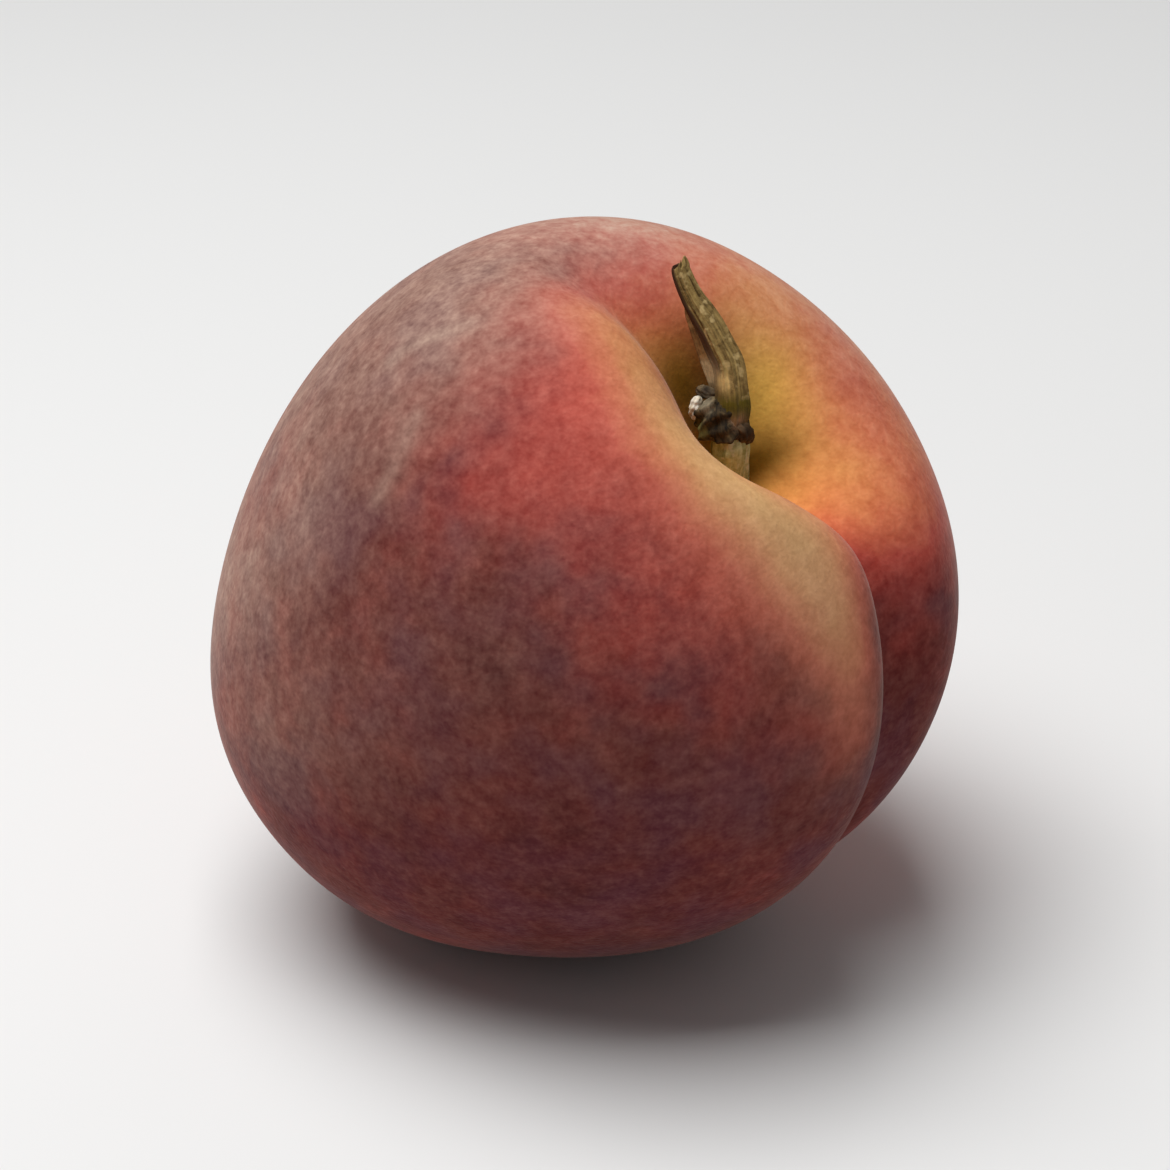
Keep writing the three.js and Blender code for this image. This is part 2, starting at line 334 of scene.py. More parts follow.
def from_line(points, line):
    """Distance in mm from each point to the nearest of the line's segments."""
    line = np.array(line)
    nearest = np.full(len(points), np.inf)
    for start, end in zip(line[:-1], line[1:]):
        way = end - start
        share = np.clip((points - start) @ way / (way @ way), 0, 1)
        gap = np.linalg.norm(points - start - share[:, None] * way, axis=1)
        nearest = np.minimum(nearest, gap)
    return nearest


# The down is thick and pale on the back, a little thicker on the far cheek than on the near one,
# and thin by the hollow. The stretches are in mm along -X and along Y, and a patch low on the back
# has lost most of its own. Part of this pale is painted sheen: the back's down where it makes the
# upper limb, and the pale patches along the limbs. The patches that thin it low on the fruit and
# beside the suture are painted shade.
DOWN_EVEN, DOWN_BACK, DOWN_FAR = 0.12, 0.49, 0.09
BACK_FROM, BACK_TO = 13, 28
DOWN_FAR_FROM, DOWN_FAR_TO = -2, 14
BARE_AT, BARE_SIZE, BARE_SHARE = (126, 166), 21, 0.75
DOWN_LESS_BY_STEM, DOWN_LESS_REACH, DOWN_LEAST = 0.2, 1.0, 0.03
DOWN_SHEEN_AND_SHADE_PATCHES = [
    ((42, 160), 10, 0.20),
    ((52, 124), 12, 0.18),
    ((42, 100), 11, 0.26),
    ((113, -130), 12, 0.16),
    ((112, -104), 7, 0.16),
    ((98, -98), 14, 0.08),
    ((88, -52), 22, -0.07),
    ((37, 179), 7, -0.20),
    ((58, -178), 9, -0.08),
    ((68, -148), 11, -0.22),
    ((75, -134), 8, -0.08),
    ((98, -143), 7, -0.22),
    ((112, -68), 18, -0.09),
    ((58, 38), 17, -0.20),
    ((90, 0), 22, -0.12),
    ((124, -80), 14, -0.12),
    ((60, -148), 8, 0.08),
]
backward = ease(BACK_FROM, BACK_TO, -mask_x) * (1 - BARE_SHARE * patch(BARE_AT, BARE_SIZE))
down_sheen_and_shade = DOWN_EVEN + DOWN_BACK * backward + DOWN_FAR * ease(DOWN_FAR_FROM, DOWN_FAR_TO, mask_y)
down_sheen_and_shade = down_sheen_and_shade + patches(DOWN_SHEEN_AND_SHADE_PATCHES)
down_sheen_and_shade = np.maximum(down_sheen_and_shade - DOWN_LESS_BY_STEM * bell(stemward, DOWN_LESS_REACH), DOWN_LEAST)
on_mean_sphere = np.stack([mask_x, mask_y, mask_z], -1)
scuffed = sum(bell(from_line(on_mean_sphere, line), SCUFF_WIDTH) for line in SCUFFS)


def mix(nodes, links, factor, a, b, blend="MIX"):
    """A colour mix of a and b; each may be a socket or an RGB triple."""
    node = nodes.new("ShaderNodeMix")
    node.data_type, node.blend_type = "RGBA", blend
    for value, socket in ((factor, node.inputs[0]), (a, node.inputs[6]), (b, node.inputs[7])):
        if isinstance(value, bpy.types.NodeSocket):
            links.new(value, socket)
        elif isinstance(value, (int, float)):
            socket.default_value = value
        else:
            socket.default_value = (*value, 1)
    return node.outputs[2]


def maths(nodes, links, operation, a, b=None, clamp=False):
    """A Math node; each input may be a socket or a number."""
    node = nodes.new("ShaderNodeMath")
    node.operation, node.use_clamp = operation, clamp
    for value, socket in ((a, node.inputs[0]), (b, node.inputs[1])):
        if isinstance(value, bpy.types.NodeSocket):
            links.new(value, socket)
        elif value is not None:
            socket.default_value = value
    return node.outputs[0]


def noise(nodes, links, place, size_mm, detail=2.0, roughness=0.5, distortion=0.0):
    """Noise whose lumps are about size_mm across, from 0 to 1 about 0.5."""
    node = nodes.new("ShaderNodeTexNoise")
    node.inputs["Scale"].default_value = 1 / (size_mm * MM)
    node.inputs["Detail"].default_value = detail
    node.inputs["Roughness"].default_value = roughness
    node.inputs["Distortion"].default_value = distortion
    links.new(place, node.inputs["Vector"])
    return node.outputs["Fac"]


def shifted(nodes, links, place, mm):
    """The place moved along X, so that a second noise of the same kind differs from the first."""
    node = nodes.new("ShaderNodeMapping")
    node.inputs["Location"].default_value = (mm * MM, 0, 0)
    links.new(place, node.inputs["Vector"])
    return node.outputs["Vector"]


def stretch(nodes, links, value, low, high, to_low=0.0, to_high=1.0):
    """Maps low..high to to_low..to_high, clamped."""
    node = nodes.new("ShaderNodeMapRange")
    links.new(value, node.inputs["Value"])
    for key, number in (("From Min", low), ("From Max", high), ("To Min", to_low), ("To Max", to_high)):
        node.inputs[key].default_value = number
    return node.outputs["Result"]


def srgb(red, green, blue):
    """Linear RGB of a colour given from 0 to 255."""
    share = np.array([red, green, blue]) / 255
    return tuple(np.where(share <= 0.04045, share / 12.92, ((share + 0.055) / 1.055) ** 2.4).tolist())


BLUSH_TONES = [
    (0.00, srgb(230, 182, 100)),
    (0.18, srgb(224, 146, 82)),
    (0.34, srgb(210, 106, 68)),
    (0.50, srgb(190, 70, 58)),
    (0.64, srgb(154, 50, 44)),
    (0.80, srgb(108, 38, 34)),
    (1.00, srgb(68, 29, 33)),
]
# The hollow's yellow also colours a patch of painted light, and its dark olive is painted shade.
HOLLOW_YELLOW = srgb(246, 198, 88)
HOLLOW_OLIVE_SHADE = srgb(108, 74, 3)
LIP_TAN = srgb(200, 166, 124)
DRY_BROWN = srgb(92, 62, 40)
DUSKY_PURPLE = srgb(92, 38, 51)
# The down's pale colour also serves as painted sheen along the limbs.
DOWN_AND_SHEEN_COLOUR = srgb(182, 154, 137)

# The mottling: how many mm across each size of it is, and how far it swings.
CLOUD_MM, CLOUD_SWING = 11, 0.22
BLOTCH_MM, BLOTCH_SWING = 3.4, 0.14
PATCHY_MM, PATCHY_SWING = 4.5, 0.7
FLECK_MM, FLECK_SWING = 1.3, 1.3
SPECK_MM, SPECK_SWING = 0.5, 0.7
HAZE_MM = 9
HAZE_SHIFT, PATCHY_SHIFT = 55, 90  # in mm, so that no two sizes line up
GRAIN_IN_BLUSH, GRAIN_IN_SHADE = 0.04, 0.36
GRAIN_IN_DOWN, GRAIN_WITHOUT_DOWN = 0.6, 0.10
PURPLE_MOST, SCUFF_PALER = 0.7, 0.22
PURPLE_HAZE, PURPLE_DEPTH = (0.44, 0.64), (0.55, 0.75)  # purple comes in over these stretches
SKIN_ROUGHNESS, SKIN_SPECULAR = 0.8, 0.12
SHEEN_WEIGHT, SHEEN_ROUGHNESS, SHEEN_TINT = 0.20, 0.3, (0.95, 0.87, 0.78, 1)
SKIN_RELIEF_MM, SKIN_RELIEF_STRENGTH = 0.10, 0.5


def tone_ramp(nodes, links, value, tones):
    """A colour ramp through (position, colour) pairs."""
    node = nodes.new("ShaderNodeValToRGB")
    stops = node.color_ramp.elements
    while len(stops) < len(tones):
        stops.new(0.5)
    for stop, (position, colour) in zip(stops, tones):
        stop.position, stop.color = position, (*colour, 1)
    links.new(value, node.inputs["Fac"])
    return node.outputs["Color"]


def make_skin():
    """Golden ground that deepens through coral to dusky red, and further as painted shade low on the
    fruit, mottled at several sizes, under a pale fuzz that lies in flecks and is partly painted sheen
    at the limbs. The tan, yellow and brown marks, a yellow patch of painted light and dark painted
    shade in the hollow lie where their masks say, and one grain shades them all."""
    material = bpy.data.materials.new("peach_skin")
    material.use_nodes = True
    nodes, links = material.node_tree.nodes, material.node_tree.links
    shader = nodes["Principled BSDF"]
    place = nodes.new("ShaderNodeTexCoord").outputs["Object"]

    def mask(name):
        """The number that the mesh stores under this name."""
        node = nodes.new("ShaderNodeAttribute")
        node.attribute_name = name
        return node.outputs["Fac"]

    def about_zero(value, amount):
        """A noise value made to swing either side of 0 by the amount."""
        swing = maths(nodes, links, "SUBTRACT", value, 0.5)
        return maths(nodes, links, "MULTIPLY", swing, amount)

    cloud = noise(nodes, links, place, CLOUD_MM, detail=2, roughness=0.5)
    blotch = noise(nodes, links, place, BLOTCH_MM, detail=2, roughness=0.6)
    fleck = noise(nodes, links, place, FLECK_MM, detail=2, roughness=0.6)
    speck = noise(nodes, links, place, SPECK_MM, detail=1, roughness=0.6)
    moved = shifted(nodes, links, place, HAZE_SHIFT)
    haze = noise(nodes, links, moved, HAZE_MM, detail=2, roughness=0.6)
    moved = shifted(nodes, links, place, PATCHY_SHIFT)
    patchy = noise(nodes, links, moved, PATCHY_MM, detail=2, roughness=0.6)
    grain = maths(nodes, links, "ADD", about_zero(fleck, FLECK_SWING), about_zero(speck, SPECK_SWING))
    grain = maths(nodes, links, "ADD", grain, about_zero(patchy, PATCHY_SWING))

    # The depth is deepened by painted shade low on the near cheek and along the suture.
    depth = maths(nodes, links, "ADD", mask("blush_and_shade"), about_zero(cloud, CLOUD_SWING))
    depth = maths(nodes, links, "ADD", depth, about_zero(blotch, BLOTCH_SWING))
    grain_in_blush = maths(nodes, links, "MULTIPLY", grain, GRAIN_IN_BLUSH)
    depth = maths(nodes, links, "SUBTRACT", depth, grain_in_blush, clamp=True)
    colour = tone_ramp(nodes, links, depth, BLUSH_TONES)
    purple = maths(nodes, links, "MULTIPLY", stretch(nodes, links, haze, *PURPLE_HAZE), PURPLE_MOST)
    purple = maths(nodes, links, "MULTIPLY", purple, stretch(nodes, links, depth, *PURPLE_DEPTH))
    colour = mix(nodes, links, purple, colour, DUSKY_PURPLE)
    colour = mix(nodes, links, mask("tan"), colour, LIP_TAN)
    # The pale down, partly painted sheen along the limbs and thinned as painted shade low down.
    strength = maths(nodes, links, "MULTIPLY_ADD", mask("down_sheen_and_shade"), GRAIN_IN_DOWN)
    strength.node.inputs[2].default_value = GRAIN_WITHOUT_DOWN
    pale = maths(nodes, links, "MULTIPLY", grain, strength)
    pale = maths(nodes, links, "ADD", pale, mask("down_sheen_and_shade"))
    scuff = maths(nodes, links, "MULTIPLY", mask("scuff"), SCUFF_PALER)
    pale = maths(nodes, links, "ADD", pale, scuff, clamp=True)
    colour = mix(nodes, links, pale, colour, DOWN_AND_SHEEN_COLOUR)
    # A brighter yellow patch in the hollow is painted light, and the dark olive is painted shade.
    colour = mix(nodes, links, mask("yellow"), colour, HOLLOW_YELLOW)
    colour = mix(nodes, links, mask("olive_shade"), colour, HOLLOW_OLIVE_SHADE)
    colour = mix(nodes, links, mask("blossom"), colour, DRY_BROWN)
    shade = maths(nodes, links, "ADD", maths(nodes, links, "MULTIPLY", grain, GRAIN_IN_SHADE), 1.0)
    colour = mix(nodes, links, 1, colour, shade, "MULTIPLY")
    links.new(colour, shader.inputs["Base Color"])
    shader.inputs["Roughness"].default_value = SKIN_ROUGHNESS
    shader.inputs["Specular IOR Level"].default_value = SKIN_SPECULAR
    shader.inputs["Sheen Weight"].default_value = SHEEN_WEIGHT
    shader.inputs["Sheen Roughness"].default_value = SHEEN_ROUGHNESS
    shader.inputs["Sheen Tint"].default_value = SHEEN_TINT
    bump = nodes.new("ShaderNodeBump")
    bump.inputs["Distance"].default_value = SKIN_RELIEF_MM * MM
    bump.inputs["Strength"].default_value = SKIN_RELIEF_STRENGTH
    links.new(maths(nodes, links, "ADD", fleck, speck), bump.inputs["Height"])
    links.new(bump.outputs["Normal"], shader.inputs["Normal"])
    return material


skin = make_piece(
    "skin",
    pressed_flat(as_it_lies(skin_points)),
    closed_grid_faces(ROWS - 1, COLUMNS),
    make_skin(),
)
add_mask(skin, "blush_and_shade", blush_and_shade)
add_mask(skin, "yellow", yellow)
add_mask(skin, "olive_shade", olive_shade)
add_mask(skin, "down_sheen_and_shade", down_sheen_and_shade)
add_mask(skin, "scuff", scuffed)
add_mask(skin, "tan", lip)
add_mask(skin, "blossom", blossom)
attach(skin, "root")
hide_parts("fruit")


# ======================================================================================
# The stalk. The fruit's own short stout stem, of green-grey rind over wood. It grows out of the
# bottom of the hollow, where its foot is sunk in the flesh, and carries the scar, the bark and
# the broken bits that the next sections make.
# ======================================================================================

STEM_FACES = np.array([0.0, -0.77, 0.64])  # the way the bark's outer side faces

# Each route runs through points in mm, with the width and the thickness at each.
STALK_ROUTE = [
    [0.8, 0.8, 20.0],
    [0.1, 0.8, 22.2],
    [-1.0, 0.6, 24.1],
    [-2.1, 0.2, 25.6],
    [-3.1, 0.1, 26.5],
]
STALK_WIDTH = [5.0, 4.2, 3.4, 3.4, 3.0]
STALK_THICKNESS = [4.8, 4.0, 3.4, 3.4, 2.8]

# Colours that lie on the stem whatever piece is there: a place in mm, a size in mm, a colour.
STAINS = [
    ((-8.5, 0.2, 28.7), 1.3, (214, 186, 140)),
    ((-6.8, -0.7, 30.1), 0.8, (206, 174, 112)),
    ((-7.4, -0.7, 28.0), 0.8, (44, 30, 14)),
    ((-6.2, -1.4, 27.4), 0.8, (136, 124, 100)),
    ((-3.4, -0.6, 28.4), 0.8, (168, 138, 106)),
    ((-4.9, -1.9, 25.6), 1.0, (118, 112, 60)),
    ((-2.2, -0.3, 28.0), 0.9, (46, 30, 8)),
]


def through_points(values, travel):
    """The Catmull-Rom curve through rows of values: between two rows it is the cubic that passes
    through both, with each one's slope half the difference of its neighbours."""
    values = np.asarray(values, float)
    padded = np.concatenate([2 * values[:1] - values[1:2], values, 2 * values[-1:] - values[-2:-1]])
    place = np.clip(travel, 0, 1) * (len(values) - 1)
    step = np.minimum(place.astype(int), len(values) - 2)
    t = place - step
    t = t.reshape(t.shape + (1,) * (values.ndim - 1))
    before, start, end, after = (padded[step + k] for k in range(4))
    slope_start, slope_end = (end - before) / 2, (after - start) / 2
    bend = 2 * (start - end) + slope_start + slope_end
    curve = 3 * (end - start) - 2 * slope_start - slope_end
    return start + slope_start * t + curve * t**2 + bend * t**3


def unit(vectors):
    """Each vector divided by its own length."""
    return vectors / np.linalg.norm(vectors, axis=-1, keepdims=True)


def carried_along(route, widths, thicknesses, sides, steps, relief, tear=None):
    """An oval carried along a route: at each step the ring's points stand off the route by half
    the width across it and half the thickness outwards, times the relief. The relief and the
    tear are functions of the turn round the oval and the travel from 0 to 1; the tear moves a
    point along the route, in mm. The ends close to a point on the route."""
    travel = np.linspace(0, 1, steps + 1)
    centre = through_points(route, travel)
    tangent = unit(np.gradient(centre, axis=0))
    across = unit(np.cross(tangent, STEM_FACES))
    outward = np.cross(across, tangent)
    turn = np.linspace(0, 2 * math.pi, sides, endpoint=False)
    half_width = through_points(widths, travel)[:, None, None] / 2
    half_thick = through_points(thicknesses, travel)[:, None, None] / 2
    scale = relief(turn[None, :], travel[:, None])[..., None]
    ring = half_width * across[:, None] * np.cos(turn)[None, :, None]
    ring = ring + half_thick * outward[:, None] * np.sin(turn)[None, :, None]
    points = centre[:, None] + scale * ring
    slide = 0 if tear is None else tear(turn[None, :], travel[:, None])[..., None]
    points = points + slide * tangent[:, None]
    ends = points[0].mean(0), points[-1].mean(0)
    points = np.concatenate([ends[0][None], points.reshape(-1, 3), ends[1][None]])
    grain = np.stack(np.broadcast_arrays(
        half_width[..., 0] * np.cos(turn), half_width[..., 0] * np.sin(turn), travel[:, None] * 1.0,
    ), -1)
    grain = np.concatenate([grain[:1, 0], grain.reshape(-1, 3), grain[-1:, 0]])
    return points, closed_grid_faces(steps + 1, sides), grain


def fibres(turn, travel, counts, seed, twist=1.5):
    """A sum of ridges round the oval, each count with its own phase, leaning a little along the
    way, and lower the finer it is."""
    dice = np.random.default_rng(seed)
    total = 0
    for count in counts:
        phase, lean = dice.uniform(0, 2 * math.pi), dice.uniform(-1, 1) * twist
        wander = 0.6 * np.sin(dice.uniform(3, 9) * travel + dice.uniform(0, 6))
        total = total + (counts[0] / count) ** 0.6 * np.cos(count * turn + phase + lean * travel + wander)
    return total


def lumps(turn, travel, seed, count=14):
    """A sum of waves in random directions over the turn and the travel: whole numbers of waves
    round the oval, so that it closes."""
    dice = np.random.default_rng(seed)
    total = 0
    for _ in range(count):
        around_waves, along_waves = dice.integers(0, 9), dice.uniform(2, 34)
        phase = dice.uniform(0, 2 * math.pi)
        size = 1 / (1 + 0.25 * math.hypot(around_waves, along_waves / 3))
        total = total + size * np.cos(around_waves * turn + along_waves * travel + phase)
    return total


STALK_FIBRES, STALK_RIDGE, STALK_LUMP = [4, 7, 12], 0.035, 0.02


def stalk_relief(turn, travel):
    """1, plus low ridges along the stalk and lower lumps, as shares of the half width."""
    ridges = STALK_RIDGE * fibres(turn, travel, STALK_FIBRES, 3)
    return 1 + ridges + STALK_LUMP * lumps(turn, travel, 4)


# Weathered wood: how many mm across its mottling and its pale spots are, and how much each shows.
FIBRE_SIZE = 450  # in thousandths of a mm, because the grain attribute is in mm, not in metres
FIBRE_SHARE = 0.65
MOTTLE_MM = 0.5
WOOD_SPOT_MM, WOOD_SPOT_MOST = 0.9, 0.75
STAIN_RAGGED = 0.6
WOOD_TONE, WOOD_SPOT, STAIN_EDGE = (0.38, 0.62), (0.56, 0.68), (0.55, 1.0)  # each comes in over these
STAIN_SHADE = (0.55, 1.2)  # a stain's shade, from dark grain to light
WOOD_ROUGHNESS, WOOD_SPECULAR = 0.82, 0.3
WOOD_RELIEF_MM, WOOD_RELIEF_STRENGTH = 0.08, 0.8


def make_wood(name, light, dark, flecks, relief_mm=WOOD_RELIEF_MM):
    """Weathered wood: long grain from dark to light, lumps at a second size and pale flecks,
    and over them the piece's own stains, with broken edges."""
    material = bpy.data.materials.new(name)
    material.use_nodes = True
    nodes, links = material.node_tree.nodes, material.node_tree.links
    shader = nodes["Principled BSDF"]
    grain, stain, stained = (nodes.new("ShaderNodeAttribute") for _ in range(3))
    grain.attribute_name, stain.attribute_name, stained.attribute_name = "grain", "stain", "stained"
    place = nodes.new("ShaderNodeTexCoord").outputs["Object"]
    long_grain = noise(nodes, links, grain.outputs["Vector"], FIBRE_SIZE, detail=4, roughness=0.65)
    mottle = noise(nodes, links, place, MOTTLE_MM, detail=3, roughness=0.65)
    tone = maths(nodes, links, "MULTIPLY", long_grain, FIBRE_SHARE)
    mottle_tone = maths(nodes, links, "MULTIPLY", mottle, 1 - FIBRE_SHARE)
    tone = maths(nodes, links, "ADD", tone, mottle_tone)
    light_share = stretch(nodes, links, tone, *WOOD_TONE)
    colour = mix(nodes, links, light_share, dark, light)
    spot = noise(nodes, links, place, WOOD_SPOT_MM, detail=2, roughness=0.5)
    spot_share = stretch(nodes, links, spot, *WOOD_SPOT, 0.0, WOOD_SPOT_MOST)
    colour = mix(nodes, links, spot_share, colour, flecks)
    shade = stretch(nodes, links, light_share, 0, 1, *STAIN_SHADE)
    own = mix(nodes, links, 1.0, stain.outputs["Color"], shade, "MULTIPLY")
    ragged = maths(nodes, links, "MULTIPLY", mottle, STAIN_RAGGED)
    edge = maths(nodes, links, "ADD", stained.outputs["Fac"], ragged)
    colour = mix(nodes, links, stretch(nodes, links, edge, *STAIN_EDGE), colour, own)
    links.new(colour, shader.inputs["Base Color"])
    shader.inputs["Roughness"].default_value = WOOD_ROUGHNESS
    shader.inputs["Specular IOR Level"].default_value = WOOD_SPECULAR
    bump = nodes.new("ShaderNodeBump")
    bump.inputs["Distance"].default_value = relief_mm * MM
    bump.inputs["Strength"].default_value = WOOD_RELIEF_STRENGTH
    links.new(tone, bump.inputs["Height"])
    links.new(bump.outputs["Normal"], shader.inputs["Normal"])
    return material


def laid_over(coats):
    """Coats laid one over the other, each an amount from 0 to 1 at every point and a colour:
    the colour seen, and how much of the ground is covered."""
    seen, bare = 0, 1
    for amount, colour in coats:
        seen = seen * (1 - amount)[:, None] + amount[:, None] * np.array(colour)
        bare = bare * (1 - amount)
    return seen / np.maximum(1 - bare, 1e-6)[:, None], 1 - bare


# The painted shade on the left flank starts at these shares of the way round to it, and the
# painted shade on the foot ends over these shares of the way up.
COAT_MOST = 0.9
FLANK_SHADE_FROM, FLANK_SHADE_TO = 0.62, 0.9
FOOT_SHADE_FROM, FOOT_SHADE_TO = 0.08, 0.26


def make_stem_piece(name, shape, material, flank_shade=None, foot_shade=None):
    """One piece of the stem. Where they are given, its left side and its lowest part are darkened
    with painted shade, under the stains."""
    points, faces, grain = shape
    piece = make_piece(name, as_it_lies(points), faces, material)
    coats = []
    if flank_shade:
        leftward = -grain[:, 0] / np.maximum(np.hypot(grain[:, 0], grain[:, 1]), 1e-6)
        coats.append((COAT_MOST * ease(FLANK_SHADE_FROM, FLANK_SHADE_TO, leftward), flank_shade))
    if foot_shade:
        coats.append((COAT_MOST * (1 - ease(FOOT_SHADE_FROM, FOOT_SHADE_TO, grain[:, 2])), foot_shade))
    for at, size, colour in STAINS:
        coats.append((bell(np.linalg.norm(points - np.array(at), axis=1), size), srgb(*colour)))
    stain, stained = laid_over(coats)
    layer = piece.data.attributes.new("grain", "FLOAT_VECTOR", "POINT")
    layer.data.foreach_set("vector", grain.astype(np.float32).ravel())
    layer = piece.data.attributes.new("stain", "FLOAT_COLOR", "POINT")
    layer.data.foreach_set("color", np.c_[stain, np.ones(len(stain))].astype(np.float32).ravel())
    add_mask(piece, "stained", stained)
    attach(piece, "root")
    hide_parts("stem")


make_stem_piece(
    "stalk",
    carried_along(STALK_ROUTE, STALK_WIDTH, STALK_THICKNESS, 72, 60, stalk_relief),
    make_wood("stalk_rind", srgb(206, 210, 158), srgb(136, 142, 82), srgb(214, 212, 176)),
)


# ======================================================================================
# The scar. A rough dark crust of torn, dried wood at the stalk's end, where the fruit was pulled
# from its twig. It wraps the end of the stalk and the foot of the bark, and holds them together.
# ======================================================================================

SCAR_ROUTE = [
    [-2.5, 0.3, 25.6],
    [-3.3, 0.0, 26.2],
    [-4.2, -0.3, 27.0],
    [-5.2, -0.4, 27.8],
    [-6.2, -0.3, 28.7],
]
SCAR_WIDTH = [2.4, 3.5, 4.5, 4.6, 3.8]
SCAR_THICKNESS = [2.6, 3.6, 3.4, 2.8, 2.0]
SCAR_RELIEF_MM = 0.14
SCAR_FIBRES, SCAR_RIDGE, SCAR_LUMP = [6, 11, 17], 0.04, 0.08
SCAR_START, SCAR_END, SCAR_LEAST = 0.35, 0.4, 0.02  # how much of its length each end rounds off


def rounded_ends(travel, start, end):
    """Shrinks to nothing at both ends along a quarter of an ellipse."""
    first = np.sqrt(1 - (1 - np.clip(travel / start, 0, 1)) ** 2)
    last = np.sqrt(1 - (1 - np.clip((1 - travel) / end, 0, 1)) ** 2)
    return first * last


def scar_relief(turn, travel):
    """Many lumps and twisted ridges about 1, times the rounding of both ends."""
    shape = 1 + SCAR_LUMP * lumps(turn, travel, 11, 26)
    shape = shape + SCAR_RIDGE * fibres(turn, travel, SCAR_FIBRES, 12, 5)
    return shape * np.maximum(rounded_ends(travel, SCAR_START, SCAR_END), SCAR_LEAST)


make_stem_piece(
    "scar",
    carried_along(SCAR_ROUTE, SCAR_WIDTH, SCAR_THICKNESS, 120, 110, scar_relief),
    make_wood("scar_crust", srgb(78, 62, 36), srgb(14, 10, 5), srgb(124, 106, 72), SCAR_RELIEF_MM),
)


# ======================================================================================
# The bark and its sliver. A long olive-brown strip of the twig's bark still hangs from the scar,
# torn off at its end. A thinner sliver of inner bark, split from it, runs along its left edge.
# ======================================================================================

BARK_ROUTE = [
    [-3.6, 0.0, 27.6],
    [-4.5, 0.0, 28.6],
    [-6.0, 0.3, 29.7],
    [-7.8, 0.7, 30.8],
    [-9.6, 0.8, 31.3],
    [-11.2, 0.9, 31.7],
    [-12.8, 1.0, 31.9],
    [-14.3, 1.0, 32.1],
    [-15.7, 1.0, 32.5],
    [-17.0, 1.1, 33.0],
    [-17.5, 1.3, 33.4],
]
BARK_WIDTH = [2.6, 3.0, 2.8, 2.7, 2.6, 2.5, 2.3, 2.0, 1.8, 1.6, 1.3]
BARK_THICKNESS = [2.2, 2.4, 2.3, 2.0, 1.8, 1.6, 1.5, 1.4, 1.3, 1.1, 0.8]
BARK_FIBRES = [5, 8, 13, 21, 34]  # ridges round the bark, coarse to fine
BARK_RIDGE = 0.06  # height of the coarsest, as a share of the half width
BARK_THIN_FROM, BARK_THINNER = 0.94, 0.5  # the torn end thins from here, by this much
TEAR_FROM, TEAR_SLANT = 0.9, 0.5  # the tear starts here; its slant in mm
TEAR_FIBRES = [(7, 1, 0.25), (13, 4, 0.15)]  # waves round the bark, a phase, a length in mm

SLIVER_ROUTE = [
    [-5.6, 0.4, 27.4],
    [-6.7, 0.6, 28.1],
    [-7.9, 0.9, 28.6],
    [-9.3, 1.1, 29.1],
    [-10.7, 1.3, 29.6],
    [-12.1, 1.4, 30.1],
    [-13.3, 1.5, 30.5],
    [-14.6, 1.4, 31.1],
]
SLIVER_WIDTH = [0.9, 1.1, 1.3, 1.4, 1.4, 1.3, 1.1, 0.6]
SLIVER_THICKNESS = [0.9, 1.0, 1.1, 1.1, 1.1, 1.0, 0.9, 0.5]


def bark_relief(turn, travel):
    """Fine ridges about 1, times a scale that eases off towards the torn end."""
    ridges = BARK_RIDGE * fibres(turn, travel, BARK_FIBRES, 7)
    return (1 + ridges) * (1 - BARK_THINNER * ease(BARK_THIN_FROM, 1.0, travel))


def bark_tear(turn, travel):
    """A slant, the cosine of the turn, plus two sets of waves for fibres of different lengths,
    all eased in over the last of the way."""
    length = TEAR_SLANT * np.cos(turn)
    for waves, phase, fibre in TEAR_FIBRES:
        length = length + fibre * np.sin(waves * turn + phase)
    return length * ease(TEAR_FROM, 1.0, travel)


make_stem_piece(
    "bark",
    carried_along(BARK_ROUTE, BARK_WIDTH, BARK_THICKNESS, 144, 260, bark_relief, bark_tear),
    make_wood("twig_bark", srgb(172, 144, 86), srgb(80, 58, 20), srgb(206, 178, 122)),
    # Painted shade: the bark's left side, which lies in shadow, and its lowest part down in the hollow
    # are darkened.
    flank_shade=srgb(74, 42, 16),
    foot_shade=srgb(98, 86, 14),
)
make_stem_piece(
    "bark_sliver",
    carried_along(SLIVER_ROUTE, SLIVER_WIDTH, SLIVER_THICKNESS, 64, 160, bark_relief, bark_tear),
    make_wood("inner_bark", srgb(166, 124, 74), srgb(82, 50, 20), srgb(184, 142, 92)),
)


# ======================================================================================
# The broken bits. A pale splinter of bare wood and two dark scraps of rind stick out of the scar,
# where the tear left them. Each is a short rough rod with rounded ends.
# ======================================================================================

# Broken bits of wood and rind round the scar: a route, widths, thicknesses, light and dark.
SCRAPS = {
    "splinter": (
        [[-6.0, -1.3, 25.4], [-6.5, -1.5, 26.2], [-7.0, -1.4, 26.9], [-7.3, -1.1, 27.4]],
        [0.5, 0.9, 0.9, 0.5],
        [0.6, 1.0, 0.9, 0.5],
        [(255, 252, 240), (222, 206, 176)],
    ),
    "scrap_brown": (
        [[-8.0, -0.1, 26.9], [-7.4, -0.3, 27.4], [-6.8, -0.4, 28.0], [-6.3, -0.4, 28.7]],
        [0.5, 0.9, 0.9, 0.5],
        [0.5, 0.8, 0.8, 0.5],
        [(76, 52, 26), (28, 18, 8)],
    ),
    "scrap_edge": (
        [[-3.2, -0.5, 27.7], [-2.4, -0.3, 27.9], [-1.7, 0.1, 27.5], [-1.2, 0.4, 26.9]],
        [1.0, 1.4, 1.2, 0.6],
        [0.9, 1.2, 1.0, 0.5],
        [(98, 72, 30), (34, 22, 6)],
    ),
}


SCRAP_FIBRES, SCRAP_ROUGH = [3, 5, 9], 0.12
SCRAP_START, SCRAP_END, SCRAP_LEAST = 0.12, 0.15, 0.03


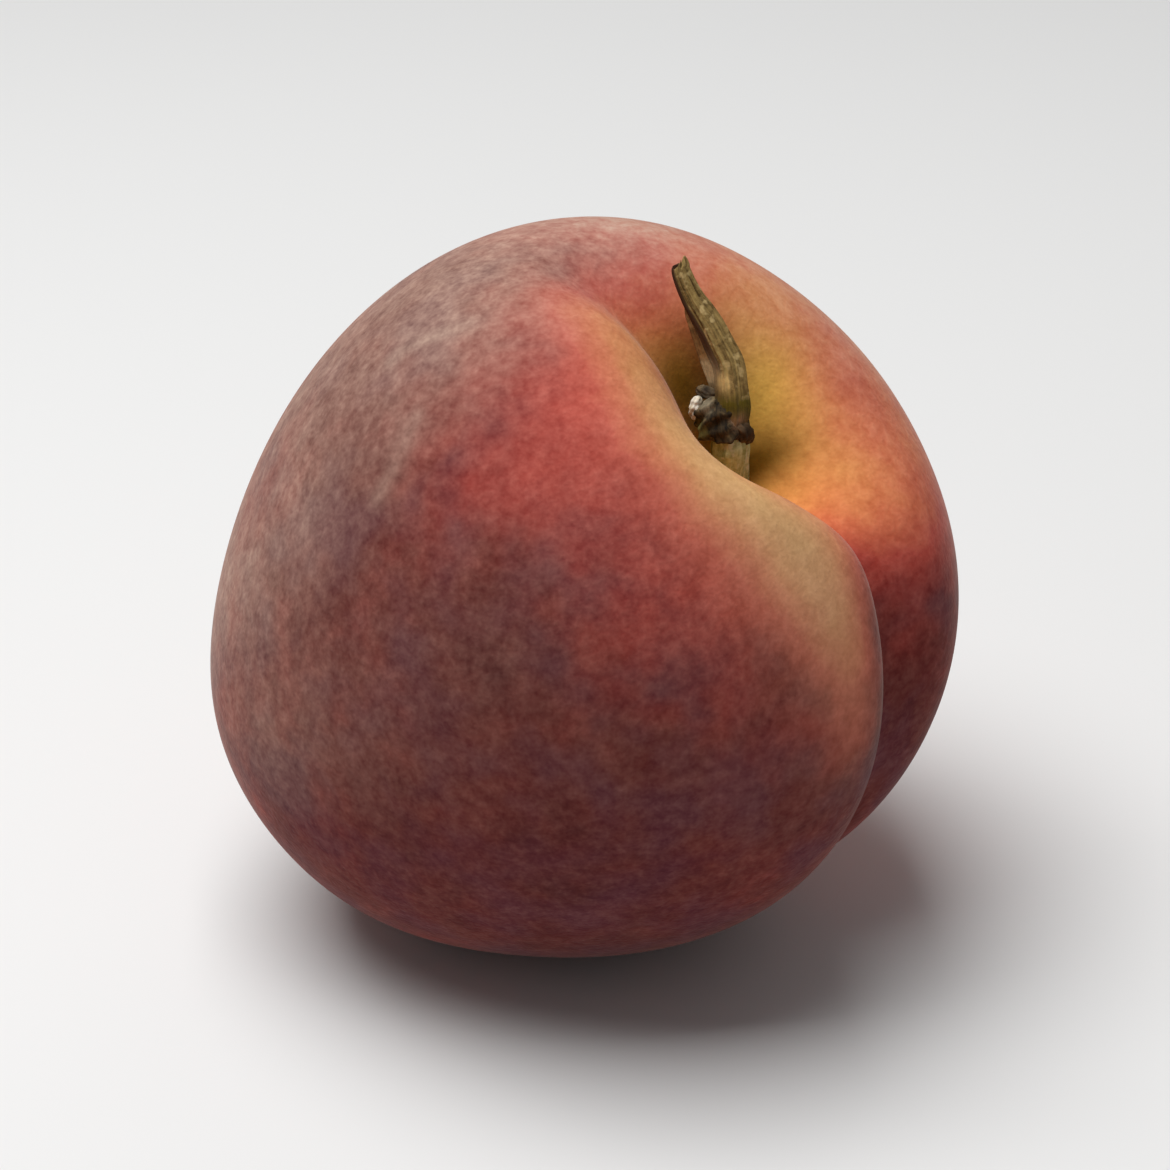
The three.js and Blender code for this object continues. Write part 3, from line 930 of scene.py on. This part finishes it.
def scrap_relief(turn, travel):
    """Ridges and lumps of one height about 1, times the rounding of both ends."""
    ends = np.maximum(rounded_ends(travel, SCRAP_START, SCRAP_END), SCRAP_LEAST)
    rough = SCRAP_ROUGH * fibres(turn, travel, SCRAP_FIBRES, 21) + SCRAP_ROUGH * lumps(turn, travel, 31)
    return (1 + rough) * ends


for name, (route, widths, thicknesses, (light, dark)) in SCRAPS.items():
    make_stem_piece(
        name,
        carried_along(route, widths, thicknesses, 40, 48, scrap_relief),
        make_wood(name + "_wood", srgb(*light), srgb(*dark), srgb(*light)),
    )


# ======================================================================================
# The floor, the light and the camera. A plain pale floor, one broad soft light overhead, a
# weak one behind and to the right, a weak fill from everywhere, and a camera 27 degrees up.
# ======================================================================================

FLOOR_RADIUS, FLOOR_SIDES = 3.0, 96
FLOOR_COLOUR, FLOOR_ROUGHNESS = (0.80, 0.80, 0.795, 1), 0.7
ROOM_COLOUR, ROOM_STRENGTH = (1, 1, 1, 1), 0.16

floor_turn = np.linspace(0, 2 * math.pi, FLOOR_SIDES, endpoint=False)
floor_points = np.stack([np.cos(floor_turn), np.sin(floor_turn), 0 * floor_turn], -1) * FLOOR_RADIUS
floor_material = bpy.data.materials.new("pale_floor")
floor_material.use_nodes = True
floor_shader = floor_material.node_tree.nodes["Principled BSDF"]
floor_shader.inputs["Base Color"].default_value = FLOOR_COLOUR
floor_shader.inputs["Roughness"].default_value = FLOOR_ROUGHNESS
floor = make_piece("floor", floor_points, [list(range(FLOOR_SIDES))], floor_material)

scene = bpy.context.scene
world = bpy.data.worlds.new("soft_room")
scene.world = world
world.use_nodes = True
world.node_tree.nodes["Background"].inputs["Color"].default_value = ROOM_COLOUR
world.node_tree.nodes["Background"].inputs["Strength"].default_value = ROOM_STRENGTH
scene.view_settings.view_transform = "Standard"

AIM = Vector(as_it_lies(np.zeros((1, 3)))[0])  # the fruit's middle


def soft_light(name, place, size, watts):
    """A square area light at a place in metres from the fruit's middle, facing it."""
    light = bpy.data.lights.new(name, "AREA")
    light.size, light.energy = size, watts
    lamp = bpy.data.objects.new(name, light)
    scene.collection.objects.link(lamp)
    lamp.location = AIM + Vector(place)
    lamp.rotation_euler = (-Vector(place)).to_track_quat("-Z", "Y").to_euler()


soft_light("overhead", (-0.20, -0.02, 0.75), 0.6, 7.4)
soft_light("behind", (0.35, 0.75, 0.35), 0.4, 0.3)

ELEVATION = math.radians(27)
DISTANCE = 0.294
LENS = 94.08
RIGHT = Vector((1, 0, 0))
UP = Vector((0, math.sin(ELEVATION), math.cos(ELEVATION)))
BACK = Vector((0, -math.cos(ELEVATION), math.sin(ELEVATION)))
camera_data = bpy.data.cameras.new("camera")
camera_data.lens, camera_data.sensor_width, camera_data.clip_start = LENS, 36, 0.01
camera = bpy.data.objects.new("camera", camera_data)
scene.collection.objects.link(camera)
camera.location = AIM + (RIGHT + UP) * MM + BACK * DISTANCE
camera.rotation_euler = BACK.to_track_quat("Z", "Y").to_euler()
scene.camera = camera
